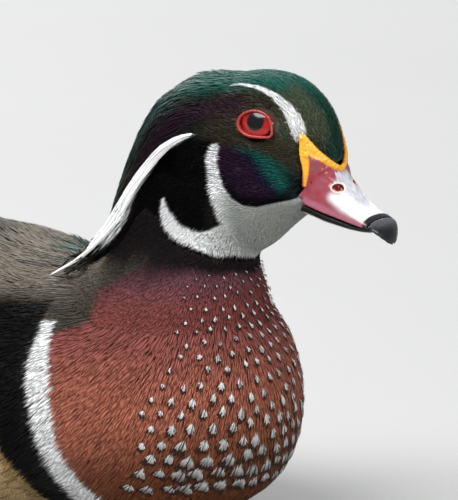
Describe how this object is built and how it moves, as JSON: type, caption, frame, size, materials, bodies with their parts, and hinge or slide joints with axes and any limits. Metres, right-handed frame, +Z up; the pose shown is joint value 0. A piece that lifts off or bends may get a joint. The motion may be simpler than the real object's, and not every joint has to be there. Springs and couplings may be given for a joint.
{
  "type": "wood duck",
  "caption": "Life-size still model of a swimming wood duck drake, resting on its flat-based belly with folded wings, swept crest and feet tucked under.",
  "frame": {"origin": "on the floor, under the middle of the bird's whole box", "axes": "+X forwards along the bird's body towards the bill, +Y to the bird's left, +Z up"},
  "size_m": [0.3926, 0.1372, 0.1569],
  "materials": {
    "breast": "chestnut body feathers with fine barbs and small white spots, soft and slightly glossy",
    "back": "olive-brown to grey mantle feathers above, white belly feathers below",
    "neck": "short maroon feathers with a violet sheen",
    "head": "very short glossy green, blue and purple feathers with white stripes and a white throat",
    "crest": "long glossy green and purple plumes edged by white ones",
    "bill": "smooth satin horn in red, white and yellow",
    "nail": "smooth black horn",
    "eye": "wet clear eye with a red iris and black pupil",
    "lid": "bright red bare skin",
    "flank": "golden buff feathers with fine dark waves, black and white tips above",
    "wing": "dark glossy blue, purple and bronze wing feathers",
    "tail": "blackish green-glossed tail feathers, brown beneath",
    "leg": "dull yellow scaled skin with dusky webs"
  },
  "bodies": {
    "root": {"bill_lower": "nail", "bill_nail": "nail", "bill_upper": "bill", "breast": "breast", "crest": "crest", "eye_left": "eye", "eye_right": "eye", "eyelids_left": "lid", "eyelids_right": "lid", "flank_left": "flank", "flank_right": "flank", "head": "head", "leg_left": "leg", "leg_right": "leg", "neck": "neck", "tail": "tail", "torso": "back", "wing_left": "wing", "wing_right": "wing"}
  },
  "joints": []
}
